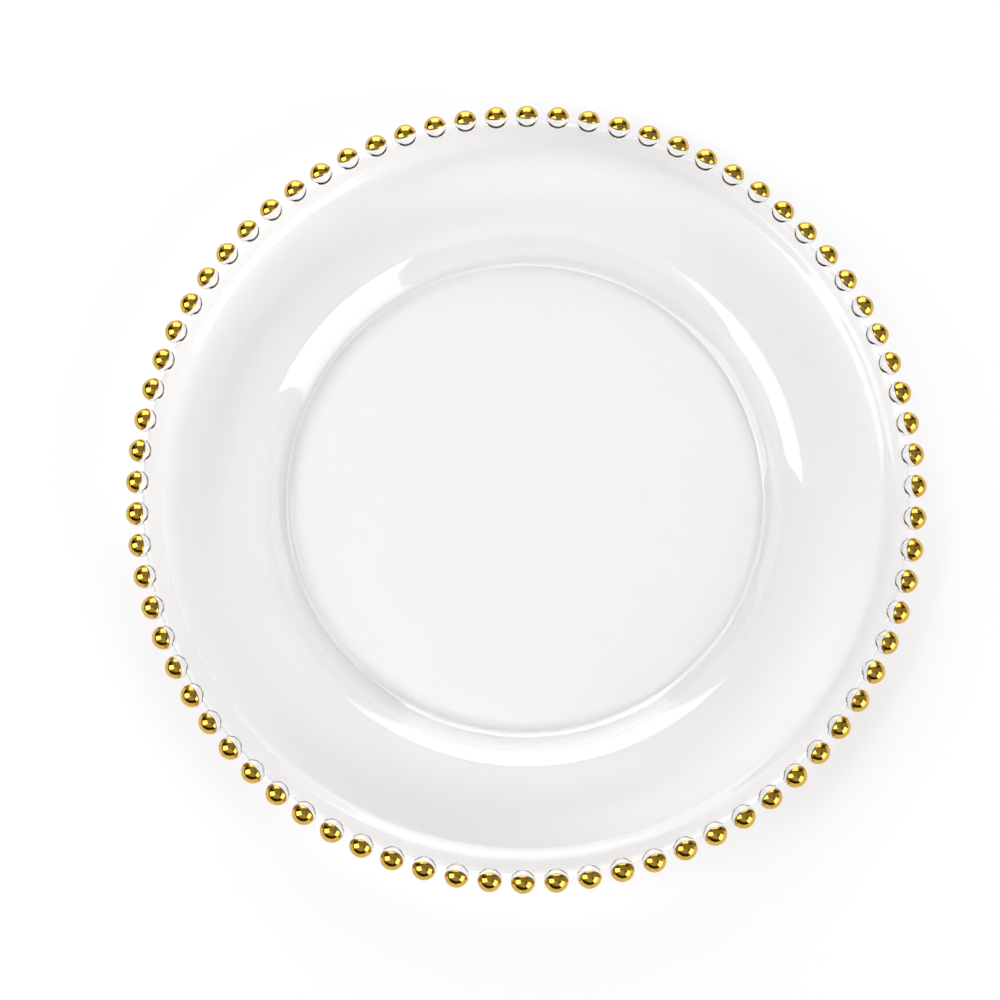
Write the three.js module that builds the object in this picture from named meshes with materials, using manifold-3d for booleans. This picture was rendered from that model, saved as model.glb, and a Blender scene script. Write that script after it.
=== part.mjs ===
// Beaded glass plate: a pressed glass charger whose edge carries a ring of glass beads.
// Each bead is part of the pressing and wears a gold cap on the side that faces up and out.
// Millimetres, +Z up. The origin is on the table, under the middle of the plate.
import * as THREE from "three";
import { mergeVertices } from "three/addons/utils/BufferGeometryUtils.js";
import Module from "manifold-3d";

// Upper face of the pressed glass, from the middle outwards
const WELL_DIAMETER = 197.4; // flat floor, up to the corner where the cove starts
const COVE_RUN = 10.6; // steep wall between the well and the rim
const COVE_RISE = 12;
const RIM_RUN = 34.8; // wide rim with a gentle slope
const RIM_RISE = 5;
const STEP_RUN = 3.6; // short upturn between the rim and the lip
const STEP_RISE = 3.7;
const LIP_WIDTH = 6; // flat lip that carries the beads
const BEAD_OVERHANG = 2.2; // from the lip's edge out to the middle of a bead

// Thickness of the glass and shape of its underside
const WELL_THICKNESS = 5.4;
const COVE_THICKNESS = 3.6;
const RIM_THICKNESS = 4.5; // where the rim leaves the cove
const LIP_THICKNESS = 4.5; // at the lip's edge
const BASE_DIAMETER = 199.2; // flat that the plate stands on

// Rounding of the corners
const WELL_ROUND = 8;
const BROW_ROUND = 17;
const UNDER_BROW_ROUND = 12.5;
const STEP_ROUND = 5.5;
const CREST_ROUND = 4.5;
const EDGE_ROUND = 1.4;
const CORNER_SHARE = 0.96; // most of a straight stretch that the rounded corners at its ends may take up
const FACET_SAG = 0.25; // how far the middle of a facet may lie inside a rounded corner

// Beads and their gilding
const BEAD_DIAMETER = 9.6; // over the gold
const BEAD_PITCH = 12.89; // wanted distance between neighbours, middle to middle
const GOLD_THICKNESS = 0.3;
const GOLD_CLEARANCE = 0.2; // between a glass bead and its cap
const CAP_TILT = THREE.MathUtils.degToRad(45); // how far a cap's axis leans up from level
const CAP_REACH = THREE.MathUtils.degToRad(76); // from a cap's axis to its brim
const CAP_SIDES = 8;
const CAP_RINGS = 2; // facet rings from the crown of a cap to its brim
const BARE_RINGS = 2; // facet rings over the clear rest of a bead
const BRIDGE_WIDTH = 0.5; // fine run of gold that joins two neighbouring caps

const wasm = await Module();
wasm.setup();

// Places that follow from the sizes
const wellRadius = WELL_DIAMETER / 2;
const browRadius = wellRadius + COVE_RUN;
const stepRadius = browRadius + RIM_RUN;
const crestRadius = stepRadius + STEP_RUN;
const edgeRadius = crestRadius + LIP_WIDTH;
const wellTop = WELL_THICKNESS;
const browTop = wellTop + COVE_RISE;
const stepTop = browTop + RIM_RISE;
const lipTop = stepTop + STEP_RISE;
const baseRadius = BASE_DIAMETER / 2;
const goldRadius = BEAD_DIAMETER / 2;
const capInnerRadius = goldRadius - GOLD_THICKNESS;
const glassBeadRadius = capInnerRadius - GOLD_CLEARANCE;
const beadRingRadius = edgeRadius + BEAD_OVERHANG;
const beadHeight = lipTop - LIP_THICKNESS / 2;
const pairCount = Math.round((Math.PI * beadRingRadius) / BEAD_PITCH);
const beadCount = 2 * pairCount;
const beadStep = (2 * Math.PI) / beadCount;

const clearGlass = new THREE.MeshStandardMaterial({
  color: 0xe9edf0,
  roughness: 0.03,
  metalness: 0,
  transparent: true,
  opacity: 0.35,
});
const brightGold = new THREE.MeshStandardMaterial({ color: 0xd4a62a, roughness: 0.14, metalness: 1 });

// A closed geometry as a solid that can be joined to others
function solidOf(geometry) {
  const bare = geometry.clone();
  bare.deleteAttribute("normal");
  bare.deleteAttribute("uv");
  const merged = mergeVertices(bare);
  const corners = merged.index.array;
  const triVerts = [];
  for (let i = 0; i < corners.length; i += 3) {
    const [a, b, c] = corners.slice(i, i + 3);
    if (a !== b && b !== c && c !== a) triVerts.push(a, b, c);
  }
  const mesh = new wasm.Mesh({
    numProp: 3,
    vertProperties: merged.attributes.position.array,
    triVerts: new Uint32Array(triVerts),
  });
  return new wasm.Manifold(mesh);
}

// A solid as a geometry for a mesh
function geometryOf(solid) {
  const { vertProperties, triVerts } = solid.getMesh();
  const geometry = new THREE.BufferGeometry();
  geometry.setAttribute("position", new THREE.BufferAttribute(vertProperties, 3));
  geometry.setIndex(new THREE.BufferAttribute(triVerts, 1));
  geometry.computeVertexNormals();
  return geometry;
}

// A point of the cross-section: distance from the axis and height
function point(radius, height) {
  return new THREE.Vector2(radius, height);
}

// Where two lines meet, each given by two of its points
function meet([a, b], [c, d]) {
  const u = b.clone().sub(a);
  const v = d.clone().sub(c);
  const share = c.clone().sub(a).cross(v) / u.cross(v);
  return a.clone().addScaledVector(u, share);
}

// A line of the upper face moved down through the glass by its thickness
function sunk([a, b], thickness) {
  const along = b.clone().sub(a).normalize();
  const down = point(along.y, -along.x).multiplyScalar(thickness);
  return [a.clone().add(down), b.clone().add(down)];
}

// Points along the arc that rounds a corner between two directions
function cornerArc(at, toBefore, toAfter, radius) {
  const halfTurn = (Math.PI - toBefore.angleTo(toAfter)) / 2;
  const cut = radius * Math.tan(halfTurn);
  const centre = toBefore.clone().add(toAfter).setLength(radius / Math.cos(halfTurn)).add(at);
  const start = at.clone().addScaledVector(toBefore, cut).sub(centre);
  const end = at.clone().addScaledVector(toAfter, cut).sub(centre);
  const clockwise = start.cross(end) < 0;
  const facetTurn = 2 * Math.acos(Math.max(0, 1 - FACET_SAG / radius));
  const arc = new THREE.ArcCurve(centre.x, centre.y, radius, start.angle(), end.angle(), clockwise);
  return arc.getPoints(Math.ceil((2 * halfTurn) / facetTurn));
}

// Points along an outline whose corners are rounded, each corner as { at, round }
function roundedOutline(corners) {
  const toward = (i, j) => corners[j].at.clone().sub(corners[i].at).normalize();
  const wanted = corners.map(({ round }, i) => {
    if (!round) return 0;
    return round * Math.tan((Math.PI - toward(i, i - 1).angleTo(toward(i, i + 1))) / 2);
  });
  const room = (i, j) => (CORNER_SHARE * corners[i].at.distanceTo(corners[j].at)) / (wanted[i] + wanted[j]);
  return corners.flatMap(({ at, round }, i) => {
    if (!round) return [at];
    const share = Math.min(1, room(i - 1, i), room(i, i + 1));
    return cornerArc(at, toward(i, i - 1), toward(i, i + 1), round * share);
  });
}

// Cross-section of the pressing, from the axis out along the underside and back over the upper face
function plateProfile() {
  const well = point(wellRadius, wellTop);
  const brow = point(browRadius, browTop);
  const step = point(stepRadius, stepTop);
  const crest = point(crestRadius, lipTop);
  const edge = point(edgeRadius, lipTop);

  const coveUnder = sunk([well, brow], COVE_THICKNESS);
  const edgeUnder = point(edgeRadius, lipTop - LIP_THICKNESS);
  const rimUnder = [point(browRadius, browTop - RIM_THICKNESS), edgeUnder];

  return roundedOutline([
    { at: point(0, 0) },
    { at: point(baseRadius, 0) },
    { at: meet(coveUnder, rimUnder), round: UNDER_BROW_ROUND },
    { at: edgeUnder, round: EDGE_ROUND },
    { at: edge, round: EDGE_ROUND },
    { at: crest, round: CREST_ROUND },
    { at: step, round: STEP_ROUND },
    { at: brow, round: BROW_ROUND },
    { at: well, round: WELL_ROUND },
    { at: point(0, wellTop) },
  ]);
}

// Points on a bead's outline, at angles measured from its cap's axis
function beadArc(radius, from, to, rings) {
  return Array.from({ length: rings + 1 }, (_, i) => {
    const angle = THREE.MathUtils.lerp(from, to, i / rings);
    const onAxis = angle === 0 || angle === Math.PI;
    return point(onAxis ? 0 : radius * Math.sin(angle), radius * Math.cos(angle));
  });
}

// Takes a shape made round the Y axis at the origin to a bead's place at an angle round the plate
function beadPlacement(angle) {
  const outward = new THREE.Vector3(Math.cos(angle), Math.sin(angle), 0);
  const up = new THREE.Vector3(0, 0, 1);
  const sideways = up.clone().cross(outward);
  const capAxis = outward.clone().applyAxisAngle(sideways, -CAP_TILT);
  const place = outward.clone().multiplyScalar(beadRingRadius).setZ(beadHeight);
  return new THREE.Matrix4()
    .makeBasis(sideways, capAxis, sideways.clone().cross(capAxis))
    .setPosition(place);
}

// One glass bead, faceted round the same axis as its cap so that the two fit evenly
function glassBead(angle) {
  const profile = [
    ...beadArc(glassBeadRadius, Math.PI, CAP_REACH, BARE_RINGS),
    ...beadArc(glassBeadRadius, CAP_REACH, 0, CAP_RINGS).slice(1),
  ];
  return new THREE.LatheGeometry(profile, CAP_SIDES).applyMatrix4(beadPlacement(angle));
}

// One gold cap: a thin shell from the crown of a bead to the brim
function goldCap(angle) {
  const profile = [
    ...beadArc(capInnerRadius, 0, CAP_REACH, CAP_RINGS),
    ...beadArc(goldRadius, CAP_REACH, 0, CAP_RINGS),
  ];
  return new THREE.LatheGeometry(profile, CAP_SIDES).applyMatrix4(beadPlacement(angle));
}

// The pressing: the turned plate with all its beads
function pressedGlass() {
  const turned = new THREE.LatheGeometry(plateProfile(), beadCount).rotateX(Math.PI / 2);
  let solid = solidOf(turned);
  for (let i = 0; i < beadCount; i += 1) {
    solid = solid.add(solidOf(glassBead((i + 0.5) * beadStep)));
  }
  return geometryOf(solid);
}

// Two neighbouring caps, one each side of the X axis, with the fine run of gold between them
function goldCapPair() {
  const angles = [-beadStep / 2, beadStep / 2];
  const brimRadius = (capInnerRadius + goldRadius) / 2;
  const brimSide = new THREE.Vector3(Math.sin(CAP_REACH), Math.cos(CAP_REACH), 0);
  const end = brimSide.multiplyScalar(brimRadius).applyMatrix4(beadPlacement(angles[0]));
  const bridge = new THREE.BoxGeometry(BRIDGE_WIDTH, 2 * Math.abs(end.y), BRIDGE_WIDTH);
  bridge.translate(end.x, 0, end.z);
  const [first, second] = angles.map((angle) => solidOf(goldCap(angle)));
  return geometryOf(first.add(solidOf(bridge)).add(second));
}

const plate = new THREE.Group();

const glass = new THREE.Mesh(pressedGlass(), clearGlass);
glass.name = "pressed_glass_plate";
plate.add(glass);

const pairGeometry = goldCapPair();
const twoDigits = (number) => String(number).padStart(2, "0");
for (let i = 0; i < pairCount; i += 1) {
  const pair = new THREE.Mesh(pairGeometry, brightGold);
  pair.name = `gold_caps_${twoDigits(2 * i + 1)}_${twoDigits(2 * i + 2)}`;
  pair.rotation.z = 2 * (i + 0.5) * beadStep;
  plate.add(pair);
}

export default plate;
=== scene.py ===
"""Beaded glass plate: a pressed glass charger with gold-capped beads, and a plain studio to show it in."""
import math
import random
from typing import NamedTuple

import bmesh
import bpy
from bpy.props import FloatProperty, FloatVectorProperty, IntProperty, PointerProperty
from mathutils import Matrix, Vector


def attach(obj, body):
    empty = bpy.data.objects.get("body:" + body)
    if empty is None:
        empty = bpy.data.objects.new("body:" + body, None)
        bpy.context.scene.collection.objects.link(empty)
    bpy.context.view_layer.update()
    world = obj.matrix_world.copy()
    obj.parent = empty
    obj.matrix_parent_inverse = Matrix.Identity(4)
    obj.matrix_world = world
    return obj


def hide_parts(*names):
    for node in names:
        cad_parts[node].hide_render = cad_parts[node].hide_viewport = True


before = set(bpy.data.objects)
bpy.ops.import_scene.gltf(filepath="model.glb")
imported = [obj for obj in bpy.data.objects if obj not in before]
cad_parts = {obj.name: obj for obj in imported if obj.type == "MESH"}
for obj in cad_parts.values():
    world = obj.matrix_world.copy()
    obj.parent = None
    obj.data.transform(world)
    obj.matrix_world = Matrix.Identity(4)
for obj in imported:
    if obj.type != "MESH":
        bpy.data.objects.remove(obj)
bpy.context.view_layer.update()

bl_info = {
    "name": "Beaded glass plate",
    "version": (1, 0, 0),
    "blender": (4, 5, 0),
    "location": "3D View > Sidebar > Plate",
    "description": "Builds a pressed glass charger with gold-capped beads and a studio to show it in",
    "category": "Add Mesh",
}

MM = 0.001
GLASS_NODE = "pressed_glass_plate"
GOLD_NODES = sorted(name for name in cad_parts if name.startswith("gold_caps_"))
CAPS_PER_NODE = 2
BEAD_COUNT = CAPS_PER_NODE * len(GOLD_NODES)
HALF_STEP = math.pi / BEAD_COUNT  # half the angle between two neighbouring beads

# How finely the glass is meshed
ARC_TURN = math.radians(6)  # turn between two points of a rounded corner
HOLD = 0.5 * MM  # a point this far from each rounded corner keeps the straight stretch flat
HELD_STRETCH = 3 * HOLD  # only straight stretches longer than this get such points
CORNER_SHARE = 0.96  # most of a straight stretch that the rounded corners at its two ends may take up
EDGE_SLACK = 0.1 * HOLD  # points this close to the lip's largest radius lie on its outer edge
SIDE_STEPS = 8  # steps along each side of the patch of lip that carries a bead
LIP_RINGS = 3  # rings of faces from the patch's border to the root of the bead
ROOT_RINGS = 4  # rings of faces over the fillet at the root of the bead
BEAD_RINGS = 9  # rings of faces from the root to the outermost point of the bead
ROOT_HALVINGS = 40  # halvings in the search for where a bead meets the lip
MERGE = 0.001 * MM  # points closer than this are one point

# How finely the gold is meshed and how its brim strays
CAP_SIDES = 36
CAP_RINGS = 10
BRIM_LOBES = (2, 3, 5)  # waves once round the brim of a cap

# Finish of the glass and the gold
GLASS_IOR = 1.52
GOLD_ROUGHNESS = (0.07, 0.16)  # where the film is full and where it runs thin
GLOSS_LEVELS = (0.3, 0.7)  # levels of the cloud noise between which the roughness rises
TONE_LEVELS = (0.35, 0.75)  # levels of the cloud noise between which the thin colour comes in
THIN_SHARE = 0.5  # most of the thin colour that shows

# The studio, in metres
LAMP_DISTANCE = 2.4  # from the middle of the plate
FLOOR_HALF = 8.0  # half the width of the floor
SWEEP_RISE = 0.5  # height to which the edge of the floor turns up
LIT_REACH = (1.0, 2.2)  # distances from the plate between which the lamplight on the floor dies away
FLOOR_GAP = 0.2 * MM  # the floor lies this far under the plate, so that the two faces stay apart


class Lamp(NamedTuple):
    """A lit rectangle that faces the plate: bearings in degrees, size in metres, then radiance."""

    name: str
    azimuth: float
    elevation: float
    width: float
    height: float
    radiance: float


LAMPS = (
    Lamp("softbox_left", azimuth=189, elevation=43, width=1.4, height=2.1, radiance=3.1),
    Lamp("softbox_front_right", azimuth=324, elevation=24, width=1.75, height=1.6, radiance=3.3),
    Lamp("softbox_back", azimuth=90.5, elevation=24.3, width=2.3, height=2.17, radiance=2.35),
    Lamp("reflector_front", azimuth=250, elevation=54, width=3.0, height=1.6, radiance=0.45),
    Lamp("wall_right", azimuth=4, elevation=34, width=1.7, height=2.2, radiance=0.3),
    Lamp("wall_back", azimuth=92, elevation=26, width=4.4, height=2.4, radiance=0.25),
    Lamp("ceiling", azimuth=90, elevation=84, width=2.6, height=2.6, radiance=0.3),
)


def linear(hex_code):
    """An sRGB hex colour as the linear red, green and blue that shaders work in."""
    values = [int(hex_code[i:i + 2], 16) / 255 for i in (0, 2, 4)]
    return tuple(v / 12.92 if v <= 0.04045 else ((v + 0.055) / 1.055) ** 2.4 for v in values)


def length(name, description, millimetres):
    """A size that the user can change, given in millimetres."""
    return FloatProperty(name=name, description=description, default=millimetres * MM, unit="LENGTH")


def turn(name, description, degrees):
    """An angle that the user can change, given in degrees."""
    return FloatProperty(name=name, description=description, default=math.radians(degrees), unit="ROTATION")


def colour(name, description, hex_code):
    """A colour that the user can change, given as an sRGB hex value."""
    shade = linear(hex_code)
    return FloatVectorProperty(name=name, description=description, default=shade, subtype="COLOR")


class PlateGlass(bpy.types.PropertyGroup):
    """Sizes and finish of the pressed glass."""

    well_diameter: length("Well", "Flat floor of the plate", 197.4)
    cove_run: length("Cove run", "Width of the steep wall round the well", 10.6)
    cove_rise: length("Cove rise", "Height of the steep wall round the well", 12)
    rim_run: length("Rim run", "Width of the gently sloping rim", 34.8)
    rim_rise: length("Rim rise", "How far the rim climbs outwards", 5)
    step_run: length("Step run", "Width of the upturn between rim and lip", 3.6)
    step_rise: length("Step rise", "Height of the upturn between rim and lip", 3.7)
    lip_width: length("Lip", "Width of the flat lip that carries the beads", 6)
    bead_overhang: length("Bead overhang", "From the lip's edge to the middle of a bead", 2.2)
    bead_diameter: length("Bead", "Diameter of a bead", 9.6)
    bead_root: length("Bead root", "Length of the fillet where a bead leaves the lip", 0.5)
    well_thickness: length("Well thickness", "Thickness of the glass under the well", 5.4)
    cove_thickness: length("Cove thickness", "Thickness of the steep wall round the well", 3.6)
    rim_thickness: length("Rim thickness", "Thickness of the glass where the rim leaves the cove", 4.5)
    lip_thickness: length("Lip thickness", "Thickness of the glass at the lip's edge", 4.5)
    base_diameter: length("Base", "Diameter of the flat that the plate stands on", 199.2)
    well_round: length("Well corner", "Rounding between well and cove", 8)
    brow_round: length("Brow", "Rounding between cove and rim", 17)
    step_round: length("Step corner", "Rounding between rim and upturn", 5.5)
    crest_round: length("Crest", "Rounding between upturn and lip", 4.5)
    edge_round: length("Edge", "Rounding of the lip's outer edge", 1.4)
    base_round: length("Base corner", "Rounding of the base's edge", 1.5)
    tint: colour("Glass tint", "Colour that the glass gives to what shows through it", "FAFAFA")
    wave_spacing: length("Mould waves", "Distance between the slow waves in the pressed surface", 38)
    wave_height: length("Wave height", "Height of the slow waves in the pressed surface", 0.02)


class PlateGold(bpy.types.PropertyGroup):
    """Sizes and finish of the gold caps."""

    film: length("Film", "Thickness of a gold cap, which straddles the surface of its bead", 0.1)
    tilt: turn("Tilt", "How far a cap's axis leans up from level", 45)
    reach: turn("Reach", "From a cap's axis to its brim", 76)
    tilt_spread: turn("Tilt spread", "How much the tilt differs from bead to bead", 4)
    reach_spread: turn("Reach spread", "How much the reach differs from bead to bead", 3)
    brim_wander: turn("Brim wander", "How far the painted brim strays from a true circle", 2.5)
    seed: IntProperty(name="Seed", description="Start of the random draws for the brushwork", default=7)
    rich: colour("Rich gold", "Colour of the gold where the film is full", "DDB450")
    thin: colour("Thin gold", "Colour of the gold where the film runs thin", "A8842A")
    cloud_spacing: length("Cloud spacing", "Distance between the cloudy patches of the fired film", 1.6)
    cloud_height: length("Cloud height", "Height of the cloudy patches of the fired film", 0.02)


class PlateStage(bpy.types.PropertyGroup):
    """Camera, lamps and floor."""

    elevation: turn("Elevation", "Height of the camera above the horizon", 79.770)
    azimuth: turn("Azimuth", "Camera's bearing, 0 in front of the plate", 1.927)
    roll: turn("Roll", "Turn of the camera about its line of sight", -3.915)
    distance: length("Distance", "From the camera to the point it aims at", 697.9)
    aim: FloatVectorProperty(
        name="Aim",
        description="Point that the camera looks at",
        default=(-10.28 * MM, -6.05 * MM, 23.85 * MM),
        subtype="XYZ",
        unit="LENGTH",
    )
    lens: FloatProperty(name="Lens", description="Focal length", default=62.63, unit="CAMERA")
    floor: colour("Floor", "Colour of the plain floor", "F4F4F6")
    floor_lift: FloatProperty(
        name="Floor lift",
        description="Glow that the floor adds to its own colour where it is looked at, 1 for white",
        default=0.19,
        subtype="FACTOR",
    )
    surround: colour("Surround", "Colour of the dim studio round the table", "302F30")


def add_node(tree, kind, inputs, **settings):
    """One shader node with its settings, and its inputs as values or as sockets to link from."""
    node = tree.nodes.new(kind)
    for name, value in settings.items():
        setattr(node, name, value)
    for name, value in inputs.items():
        if isinstance(value, bpy.types.NodeSocket):
            tree.links.new(value, node.inputs[name])
        else:
            node.inputs[name].default_value = value
    return node


def empty_tree(owner):
    """The node tree of a material or world, with nothing in it."""
    owner.use_nodes = True
    owner.node_tree.nodes.clear()
    return owner.node_tree


def pressed_glass_material(glass):
    """Soda-lime glass, pressed in a mould and polished by flame.

    It is clear and mirror-smooth. Slow waves left by the mould bend its reflections a little.
    """
    material = bpy.data.materials.new("soda_lime_glass_pressed")
    tree = empty_tree(material)
    place = add_node(tree, "ShaderNodeTexCoord", {})
    waves = add_node(tree, "ShaderNodeTexNoise", {
        "Vector": place.outputs["Object"],
        "Scale": 1 / glass.wave_spacing,
        "Detail": 1.0,
        "Roughness": 0.3,
    })
    bump = add_node(tree, "ShaderNodeBump", {"Height": waves.outputs["Fac"], "Distance": glass.wave_height})
    shader = add_node(tree, "ShaderNodeBsdfPrincipled", {
        "Base Color": (*glass.tint, 1),
        "Roughness": 0.0,
        "IOR": GLASS_IOR,
        "Transmission Weight": 1.0,
        "Normal": bump.outputs["Normal"],
    })
    add_node(tree, "ShaderNodeOutputMaterial", {"Surface": shader.outputs["BSDF"]})
    return material


def fired_gold_material(gold):
    """Liquid bright gold, brushed on by hand and fired.

    It is a mirror-bright metal film. Faint clouds show where the brush left it thinner.
    """
    material = bpy.data.materials.new("bright_gold_fired")
    tree = empty_tree(material)
    place = add_node(tree, "ShaderNodeTexCoord", {})
    clouds = add_node(tree, "ShaderNodeTexNoise", {
        "Vector": place.outputs["Object"],
        "Scale": 1 / gold.cloud_spacing,
        "Detail": 3.0,
    })
    blend = add_node(tree, "ShaderNodeMapRange", {
        "Value": clouds.outputs["Fac"],
        "From Min": TONE_LEVELS[0],
        "From Max": TONE_LEVELS[1],
        "To Max": THIN_SHARE,
    })
    tone = add_node(tree, "ShaderNodeMix", {
        "Factor": blend.outputs["Result"],
        "A": (*gold.rich, 1),
        "B": (*gold.thin, 1),
    }, data_type="RGBA")
    gloss = add_node(tree, "ShaderNodeMapRange", {
        "Value": clouds.outputs["Fac"],
        "From Min": GLOSS_LEVELS[0],
        "From Max": GLOSS_LEVELS[1],
        "To Min": GOLD_ROUGHNESS[0],
        "To Max": GOLD_ROUGHNESS[1],
    })
    bump = add_node(tree, "ShaderNodeBump", {"Height": clouds.outputs["Fac"], "Distance": gold.cloud_height})
    shader = add_node(tree, "ShaderNodeBsdfPrincipled", {
        "Base Color": tone.outputs["Result"],
        "Metallic": 1.0,
        "Roughness": gloss.outputs["Result"],
        "Normal": bump.outputs["Normal"],
    })
    add_node(tree, "ShaderNodeOutputMaterial", {"Surface": shader.outputs["BSDF"]})
    return material


def meet(first, second):
    """Where two lines meet, each given by two of its points."""
    a, b = first
    c, d = second
    along, other = b - a, d - c
    share = (c - a).cross(other) / along.cross(other)
    return a + along * share


def sunk(line, thickness):
    """A line of the upper face moved down through the glass by its thickness."""
    a, b = line
    along = (b - a).normalized()
    down = Vector((along.y, -along.x)) * thickness
    return a + down, b + down


def arc(start, end, centre, sweep):
    """Points along an arc from start to end, both included."""
    steps = math.ceil(sweep / ARC_TURN)
    points = []
    for k in range(steps + 1):
        swept = sweep * k / steps
        away = (start - centre) * math.sin(sweep - swept) + (end - centre) * math.sin(swept)
        points.append(centre + away / math.sin(sweep))
    return points


def rounded_outline(corners):
    """Points along an outline whose corners, given as (point, radius), are rounded to arcs."""
    places = [at for at, _ in corners]
    lengths = [(b - a).length for a, b in zip(places, places[1:])]
    bends = [math.pi - (a - b).angle(c - b) for a, b, c in zip(places, places[1:], places[2:])]
    cuts = [0.0, *(radius * math.tan(bend / 2) for (_, radius), bend in zip(corners[1:], bends)), 0.0]
    rooms = [min(1, CORNER_SHARE * run / max(a + b, MERGE)) for run, a, b in zip(lengths, cuts, cuts[1:])]
    stretches = [[places[0]]]
    for i, bend in enumerate(bends, 1):
        at = places[i]
        cut = cuts[i] * min(rooms[i - 1], rooms[i])
        if not cut:
            stretches.append([at])
            continue
        before = (places[i - 1] - at).normalized()
        after = (places[i + 1] - at).normalized()
        centre = at + (before + after).normalized() * cut / math.sin(bend / 2)
        stretches.append(arc(at + before * cut, at + after * cut, centre, bend))
    stretches.append([places[-1]])

    points = []
    for stretch, following in zip(stretches, stretches[1:]):
        points.extend(stretch)
        gap = following[0] - stretch[-1]
        if gap.length > HELD_STRETCH:
            points.append(stretch[-1] + gap.normalized() * HOLD)
            points.append(following[0] - gap.normalized() * HOLD)
    return [*points, places[-1]]


def plate_outline(glass):
    """Cross-section of the pressing, from the axis out along the underside and back over the upper face."""
    well = Vector((glass.well_diameter / 2, glass.well_thickness))
    brow = well + Vector((glass.cove_run, glass.cove_rise))
    step = brow + Vector((glass.rim_run, glass.rim_rise))
    crest = step + Vector((glass.step_run, glass.step_rise))
    edge = crest + Vector((glass.lip_width, 0))

    cove_under = sunk((well, brow), glass.cove_thickness)
    edge_under = edge - Vector((0, glass.lip_thickness))
    rim_under = (brow - Vector((0, glass.rim_thickness)), edge_under)

    return rounded_outline([
        (Vector((0, 0)), 0),
        (Vector((glass.base_diameter / 2, 0)), glass.base_round),
        (meet(cove_under, rim_under), glass.brow_round - glass.rim_thickness),
        (edge_under, glass.edge_round),
        (edge, glass.edge_round),
        (crest, glass.crest_round),
        (step, glass.step_round),
        (brow, glass.brow_round),
        (well, glass.well_round),
        (Vector((0, glass.well_thickness)), 0),
    ])


def bead_ring(glass):
    """Radius and height of the circle through the middles of the beads."""
    radius = glass.well_diameter / 2 + glass.cove_run + glass.rim_run + glass.step_run
    radius += glass.lip_width + glass.bead_overhang
    height = glass.well_thickness + glass.cove_rise + glass.rim_rise + glass.step_rise
    return radius, height - glass.lip_thickness / 2


class LipPatch:
    """The patch of lip that carries a bead.

    Places along the plate's outline are measured from the middle of the lip's edge.
    """

    def __init__(self, glass, outline):
        ring_radius, height = bead_ring(glass)
        self.middle = Vector((ring_radius, 0, height))
        self.bead_radius = glass.bead_diameter / 2
        self.edge_radius = max(p.x for p in outline)
        self.outline = outline
        runs = [0.0]
        for a, b in zip(outline, outline[1:]):
            runs.append(runs[-1] + (b - a).length)
        edge = [run for run, p in zip(runs, outline) if p.x > self.edge_radius - EDGE_SLACK]
        zero = (edge[0] + edge[-1]) / 2
        self.places = [run - zero for run in runs]
        self.half = glass.lip_width - glass.bead_root  # half the patch's length along the outline

    def profile(self, place):
        """The point of the outline at a distance along it from the middle of the edge."""
        i = next(k for k, reached in enumerate(self.places) if reached >= place)
        a, b = self.places[i - 1], self.places[i]
        return self.outline[i - 1].lerp(self.outline[i], (place - a) / (b - a))

    def on_lip(self, place, angle):
        """A point of the lip at a distance along the outline and an angle round the plate."""
        p = self.profile(place)
        return Vector((p.x * math.cos(angle), p.x * math.sin(angle), p.y))

    def border(self):
        """The patch's border, as (distance along the outline, angle), once round."""
        corners = [(-1, -1), (-1, 1), (1, 1), (1, -1)]
        points = []
        for i, (u, v) in enumerate(corners):
            next_u, next_v = corners[(i + 1) % len(corners)]
            for k in range(SIDE_STEPS):
                t = k / SIDE_STEPS
                points.append(((u + (next_u - u) * t) * self.half, (v + (next_v - v) * t) * HALF_STEP))
        return points

    def root_share(self, place, angle):
        """How far towards a border point the surface of the bead cuts the lip, as a share of the way."""
        low, high = 0.0, 1.0
        for _ in range(ROOT_HALVINGS):
            share = (low + high) / 2
            inside = (self.on_lip(place * share, angle * share) - self.middle).length < self.bead_radius
            low, high = (share, high) if inside else (low, share)
        return low

    def spoke(self, place, angle, root):
        """Points from a border point over the lip and the fillet, up to the last ring of the bead."""
        share = self.root_share(place, angle)
        span = math.hypot(place, angle * self.edge_radius)
        foot = share + root / span
        points = []
        for k in range(LIP_RINGS):
            s = 1 + (foot - 1) * k / LIP_RINGS
            points.append(self.on_lip(place * s, angle * s))
        start = self.on_lip(place * foot, angle * foot)
        corner = self.on_lip(place * share, angle * share)
        outward = Vector((1, 0, 0))
        ray = (corner - self.middle).normalized()
        axis = ray.cross(outward).normalized()
        sweep = ray.angle(outward)
        lift = root / self.bead_radius
        end = self.middle + Matrix.Rotation(lift, 3, axis) @ ray * self.bead_radius
        # The fillet leaves the lip at its start, bends by the corner and lands on the bead at its end
        for k in range(ROOT_RINGS):
            t = k / ROOT_RINGS
            points.append(start * (1 - t) ** 2 + corner * 2 * t * (1 - t) + end * t ** 2)
        for k in range(BEAD_RINGS):
            swing = lift + (sweep - lift) * k / BEAD_RINGS
            points.append(self.middle + Matrix.Rotation(swing, 3, axis) @ ray * self.bead_radius)
        return points


def add_piece(name, mesh, material, nodes):
    """Adds a finished piece that rides on the plate, stands for CAD nodes and shows a material."""
    mesh.materials.append(material)
    piece = bpy.data.objects.new(name, mesh)
    bpy.context.scene.collection.objects.link(piece)
    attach(piece, "root")
    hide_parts(*nodes)


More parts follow.
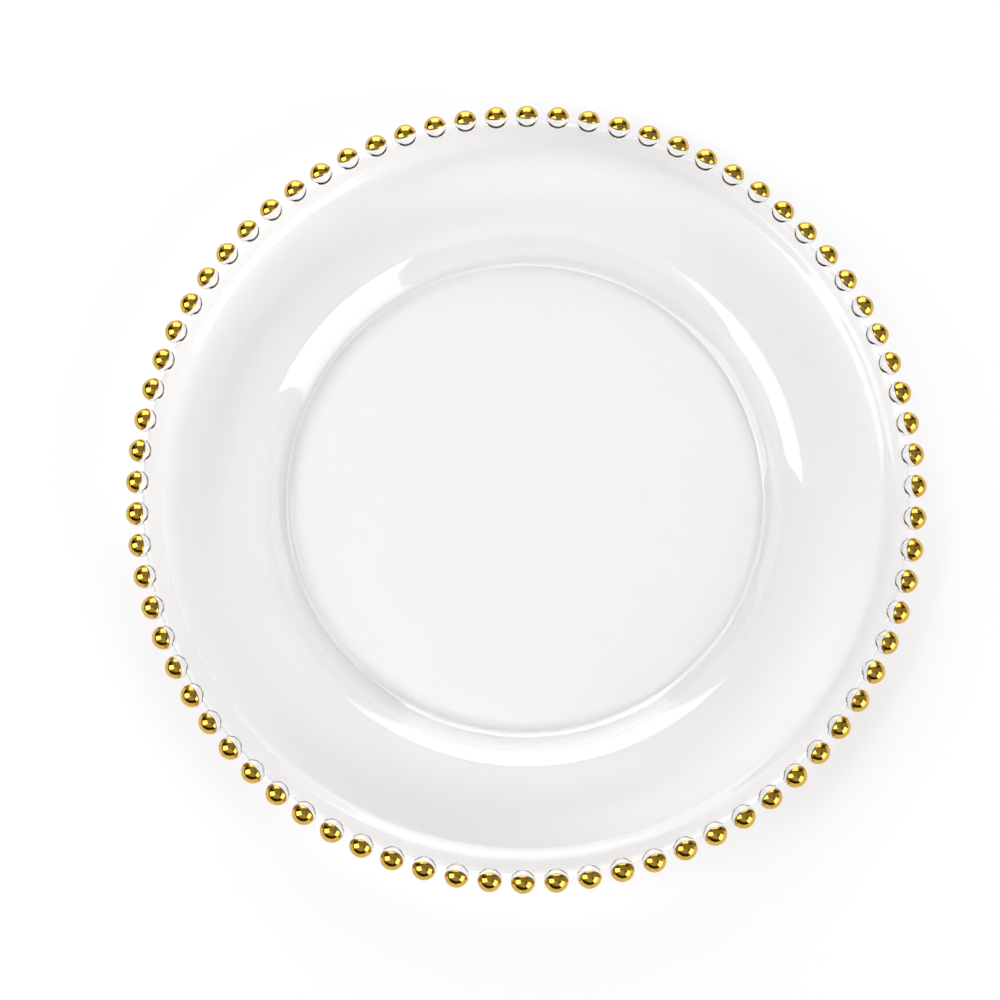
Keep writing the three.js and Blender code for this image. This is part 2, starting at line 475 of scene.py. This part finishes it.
def mesh_from(name, points, faces):
    """A smooth mesh from points and faces, with coinciding points merged and faces turned outwards."""
    mesh = bpy.data.meshes.new(name)
    mesh.from_pydata(points, [], faces)
    work = bmesh.new()
    work.from_mesh(mesh)
    bmesh.ops.remove_doubles(work, verts=work.verts, dist=MERGE)
    bmesh.ops.recalc_face_normals(work, faces=work.faces)
    for face in work.faces:
        face.smooth = True
    work.to_mesh(mesh)
    work.free()
    return mesh


def lathe(outline, sectors, points, faces):
    """Adds a stretch of outline turned round the plate's axis."""
    for row, p in enumerate(outline):
        for k in range(sectors):
            angle = 2 * math.pi * k / sectors
            points.append(Vector((p.x * math.cos(angle), p.x * math.sin(angle), p.y)))
        if row == 0:
            continue
        low = len(points) - 2 * sectors
        for k in range(sectors):
            n = (k + 1) % sectors
            faces.append((low + k, low + n, low + sectors + n, low + sectors + k))


class PLATE_OT_pressed_glass(bpy.types.Operator):
    """Press the plate: well, cove, rim, lip and all the beads as one closed piece of glass"""

    bl_idname = "plate.pressed_glass"
    bl_label = "Pressed glass"

    def execute(self, context):
        glass = context.scene.plate_glass
        outline = plate_outline(glass)
        patch = LipPatch(glass, outline)
        under = [p for p, place in zip(outline, patch.places) if place < -patch.half]
        over = [p for p, place in zip(outline, patch.places) if place > patch.half]
        points, faces = [], []
        lathe([*under, patch.profile(-patch.half)], BEAD_COUNT * SIDE_STEPS, points, faces)
        lathe([patch.profile(patch.half), *over], BEAD_COUNT * SIDE_STEPS, points, faces)

        spokes = [patch.spoke(place, angle, glass.bead_root) for place, angle in patch.border()]
        pole = patch.middle + Vector((patch.bead_radius, 0, 0))
        rings = len(spokes[0])
        for bead in range(BEAD_COUNT):
            spin = Matrix.Rotation((2 * bead + 1) * HALF_STEP, 3, "Z")
            start = len(points)
            for spoke in spokes:
                points.extend(spin @ p for p in spoke)
            points.append(spin @ pole)
            for i in range(len(spokes)):
                a = start + i * rings
                b = start + (i + 1) % len(spokes) * rings
                for k in range(rings - 1):
                    faces.append((a + k, b + k, b + k + 1, a + k + 1))
                faces.append((a + rings - 1, b + rings - 1, len(points) - 1))

        mesh = mesh_from("pressed_glass", points, faces)
        add_piece("pressed_glass", mesh, pressed_glass_material(glass), [GLASS_NODE])
        return {"FINISHED"}


def gold_cap_mesh(name, glass, gold, angle, draw):
    """One brushed-on gold cap: a thin shell over the side of a bead that faces up and out."""
    ring_radius, height = bead_ring(glass)
    tilt = gold.tilt + gold.tilt_spread * draw.uniform(-1, 1)
    reach = gold.reach + gold.reach_spread * draw.uniform(-1, 1)
    lobes = [
        (n, gold.brim_wander * draw.uniform(-1, 1) / n, draw.uniform(0, 2 * math.pi))
        for n in BRIM_LOBES
    ]
    outer = glass.bead_diameter / 2 + gold.film / 2
    inner = outer - gold.film
    spin = Matrix.Rotation(angle, 4, "Z")
    seat = Matrix.Translation((ring_radius, 0, height)) @ Matrix.Rotation(math.pi / 2 - tilt, 4, "Y")
    points, faces = [], []
    for radius, rings in ((outer, range(1, CAP_RINGS + 1)), (inner, range(CAP_RINGS, 0, -1))):
        for ring in rings:
            for side in range(CAP_SIDES):
                bearing = 2 * math.pi * side / CAP_SIDES
                brim = reach + sum(size * math.cos(n * bearing + phase) for n, size, phase in lobes)
                swing = brim * ring / CAP_RINGS
                points.append((
                    radius * math.sin(swing) * math.cos(bearing),
                    radius * math.sin(swing) * math.sin(bearing),
                    radius * math.cos(swing),
                ))
    rows = 2 * CAP_RINGS
    for row in range(rows - 1):
        for side in range(CAP_SIDES):
            a = row * CAP_SIDES + side
            b = row * CAP_SIDES + (side + 1) % CAP_SIDES
            faces.append((a, b, b + CAP_SIDES, a + CAP_SIDES))
    for radius, row in ((outer, 0), (inner, rows - 1)):
        points.append((0, 0, radius))
        for side in range(CAP_SIDES):
            a = row * CAP_SIDES + side
            b = row * CAP_SIDES + (side + 1) % CAP_SIDES
            faces.append((a, b, len(points) - 1))
    mesh = mesh_from(name, points, faces)
    mesh.transform(spin @ seat)
    return mesh


class PLATE_OT_gold_caps(bpy.types.Operator):
    """Gild the beads: one thin cap on the side of each bead that faces up and out"""

    bl_idname = "plate.gold_caps"
    bl_label = "Gold caps"

    def execute(self, context):
        glass, gold = context.scene.plate_glass, context.scene.plate_gold
        material = fired_gold_material(gold)
        draw = random.Random(gold.seed)
        for i in range(BEAD_COUNT):
            name = f"gold_cap_{i + 1:02d}"
            mesh = gold_cap_mesh(name, glass, gold, (2 * i + 1) * HALF_STEP, draw)
            add_piece(name, mesh, material, [GOLD_NODES[i // CAPS_PER_NODE]])
        return {"FINISHED"}


def pale_floor_material(stage):
    """Matt white table paper, which shows as plain white where nothing shades it.

    Its glow makes up for the lamplight, so it rises where that dies away.
    """
    material = bpy.data.materials.new("white_table_paper")
    tree = empty_tree(material)
    path = add_node(tree, "ShaderNodeLightPath", {})
    seen = path.outputs["Is Camera Ray"]
    for name in ("Is Glossy Ray", "Is Transmission Ray"):
        both = add_node(tree, "ShaderNodeMath", {0: seen, 1: path.outputs[name]}, operation="MAXIMUM")
        seen = both.outputs["Value"]
    place = add_node(tree, "ShaderNodeTexCoord", {})
    away = add_node(tree, "ShaderNodeVectorMath", {0: place.outputs["Object"]}, operation="LENGTH")
    white = add_node(tree, "ShaderNodeMapRange", {
        "Value": away.outputs["Value"],
        "From Min": LIT_REACH[0],
        "From Max": LIT_REACH[1],
        "To Min": stage.floor_lift,
        "To Max": 1.0,
    })
    lift = add_node(tree, "ShaderNodeMath", {0: seen, 1: white.outputs["Result"]}, operation="MULTIPLY")
    shader = add_node(tree, "ShaderNodeBsdfPrincipled", {
        "Base Color": (*stage.floor, 1),
        "Roughness": 1.0,
        "Specular IOR Level": 0.0,
        "Emission Color": (1, 1, 1, 1),
        "Emission Strength": lift.outputs["Value"],
    })
    add_node(tree, "ShaderNodeOutputMaterial", {"Surface": shader.outputs["BSDF"]})
    return material


def lay_floor(scene, stage):
    """Lays the wide sheet of table paper, whose edges turn up."""
    corners = [(-FLOOR_HALF, -FLOOR_HALF), (FLOOR_HALF, -FLOOR_HALF)]
    corners += [(-x, -y) for x, y in corners]
    points = [(x, y, z) for z in (0, SWEEP_RISE) for x, y in corners]
    flat = range(len(corners))
    faces = [tuple(flat)]
    for i in flat:
        n = (i + 1) % len(flat)
        faces.append((i, n, n + len(flat), i + len(flat)))
    mesh = bpy.data.meshes.new("floor")
    mesh.from_pydata(points, [], faces)
    mesh.materials.append(pale_floor_material(stage))
    floor = bpy.data.objects.new("floor", mesh)
    floor.location.z = -FLOOR_GAP
    scene.collection.objects.link(floor)


def direction(azimuth, elevation):
    """The direction from the plate towards a bearing, with azimuth 0 along +X."""
    level = math.cos(elevation)
    return Vector((math.cos(azimuth) * level, math.sin(azimuth) * level, math.sin(elevation)))


def hang(scene, lamp):
    """Puts up a lamp so that it faces the middle of the plate."""
    light = bpy.data.lights.new(lamp.name, "AREA")
    light.shape = "RECTANGLE"
    light.size = lamp.width
    light.size_y = lamp.height
    light.energy = lamp.radiance * math.pi * lamp.width * lamp.height
    back = direction(math.radians(lamp.azimuth), math.radians(lamp.elevation))
    holder = bpy.data.objects.new(lamp.name, light)
    holder.location = back * LAMP_DISTANCE
    holder.rotation_mode = "QUATERNION"
    holder.rotation_quaternion = (-back).to_track_quat("-Z", "Y")
    holder.visible_camera = False
    scene.collection.objects.link(holder)


def dim_surround(scene, stage):
    """Surrounds the table with a dim, even studio."""
    world = bpy.data.worlds.new("dim_studio")
    tree = empty_tree(world)
    shade = add_node(tree, "ShaderNodeBackground", {"Color": (*stage.surround, 1)})
    add_node(tree, "ShaderNodeOutputWorld", {"Surface": shade.outputs["Background"]})
    scene.world = world


def aim_camera(scene, stage):
    """Sets the camera at its bearing, with azimuth 0 in front of the plate, and aims it."""
    camera = bpy.data.objects.new("camera", bpy.data.cameras.new("camera"))
    camera.data.lens = stage.lens
    back = direction(stage.azimuth - math.pi / 2, stage.elevation)
    facing = (-back).to_track_quat("-Z", "Y").to_matrix() @ Matrix.Rotation(stage.roll, 3, "Z")
    camera.matrix_world = Matrix.LocRotScale(Vector(stage.aim) + back * stage.distance, facing, None)
    scene.collection.objects.link(camera)
    scene.camera = camera


class PLATE_OT_stage(bpy.types.Operator):
    """Set the stage: floor, lamps, surroundings and camera"""

    bl_idname = "plate.stage"
    bl_label = "Stage"

    def execute(self, context):
        scene = context.scene
        lay_floor(scene, scene.plate_stage)
        for lamp in LAMPS:
            hang(scene, lamp)
        dim_surround(scene, scene.plate_stage)
        aim_camera(scene, scene.plate_stage)
        scene.view_settings.view_transform = "Standard"
        # Lamp light goes through clear glass unblurred, and so unweakened
        scene.cycles.blur_glossy = 0
        return {"FINISHED"}


class PLATE_PT_sidebar(bpy.types.Panel):
    """The plate's steps and the sizes and colours that drive them"""

    bl_idname = "PLATE_PT_sidebar"
    bl_label = "Beaded glass plate"
    bl_space_type = "VIEW_3D"
    bl_region_type = "UI"
    bl_category = "Plate"

    def draw(self, context):
        groups = (
            (PLATE_OT_pressed_glass, context.scene.plate_glass),
            (PLATE_OT_gold_caps, context.scene.plate_gold),
            (PLATE_OT_stage, context.scene.plate_stage),
        )
        for operator, settings in groups:
            box = self.layout.box()
            box.operator(operator.bl_idname)
            for name in settings.__annotations__:
                box.prop(settings, name)


CLASSES = (
    PlateGlass,
    PlateGold,
    PlateStage,
    PLATE_OT_pressed_glass,
    PLATE_OT_gold_caps,
    PLATE_OT_stage,
    PLATE_PT_sidebar,
)


def register():
    for cls in CLASSES:
        bpy.utils.register_class(cls)
    bpy.types.Scene.plate_glass = PointerProperty(type=PlateGlass)
    bpy.types.Scene.plate_gold = PointerProperty(type=PlateGold)
    bpy.types.Scene.plate_stage = PointerProperty(type=PlateStage)


def unregister():
    del bpy.types.Scene.plate_stage
    del bpy.types.Scene.plate_gold
    del bpy.types.Scene.plate_glass
    for cls in reversed(CLASSES):
        bpy.utils.unregister_class(cls)


def main():
    register()
    bpy.ops.plate.pressed_glass()
    bpy.ops.plate.gold_caps()
    bpy.ops.plate.stage()


if __name__ == "__main__":
    main()
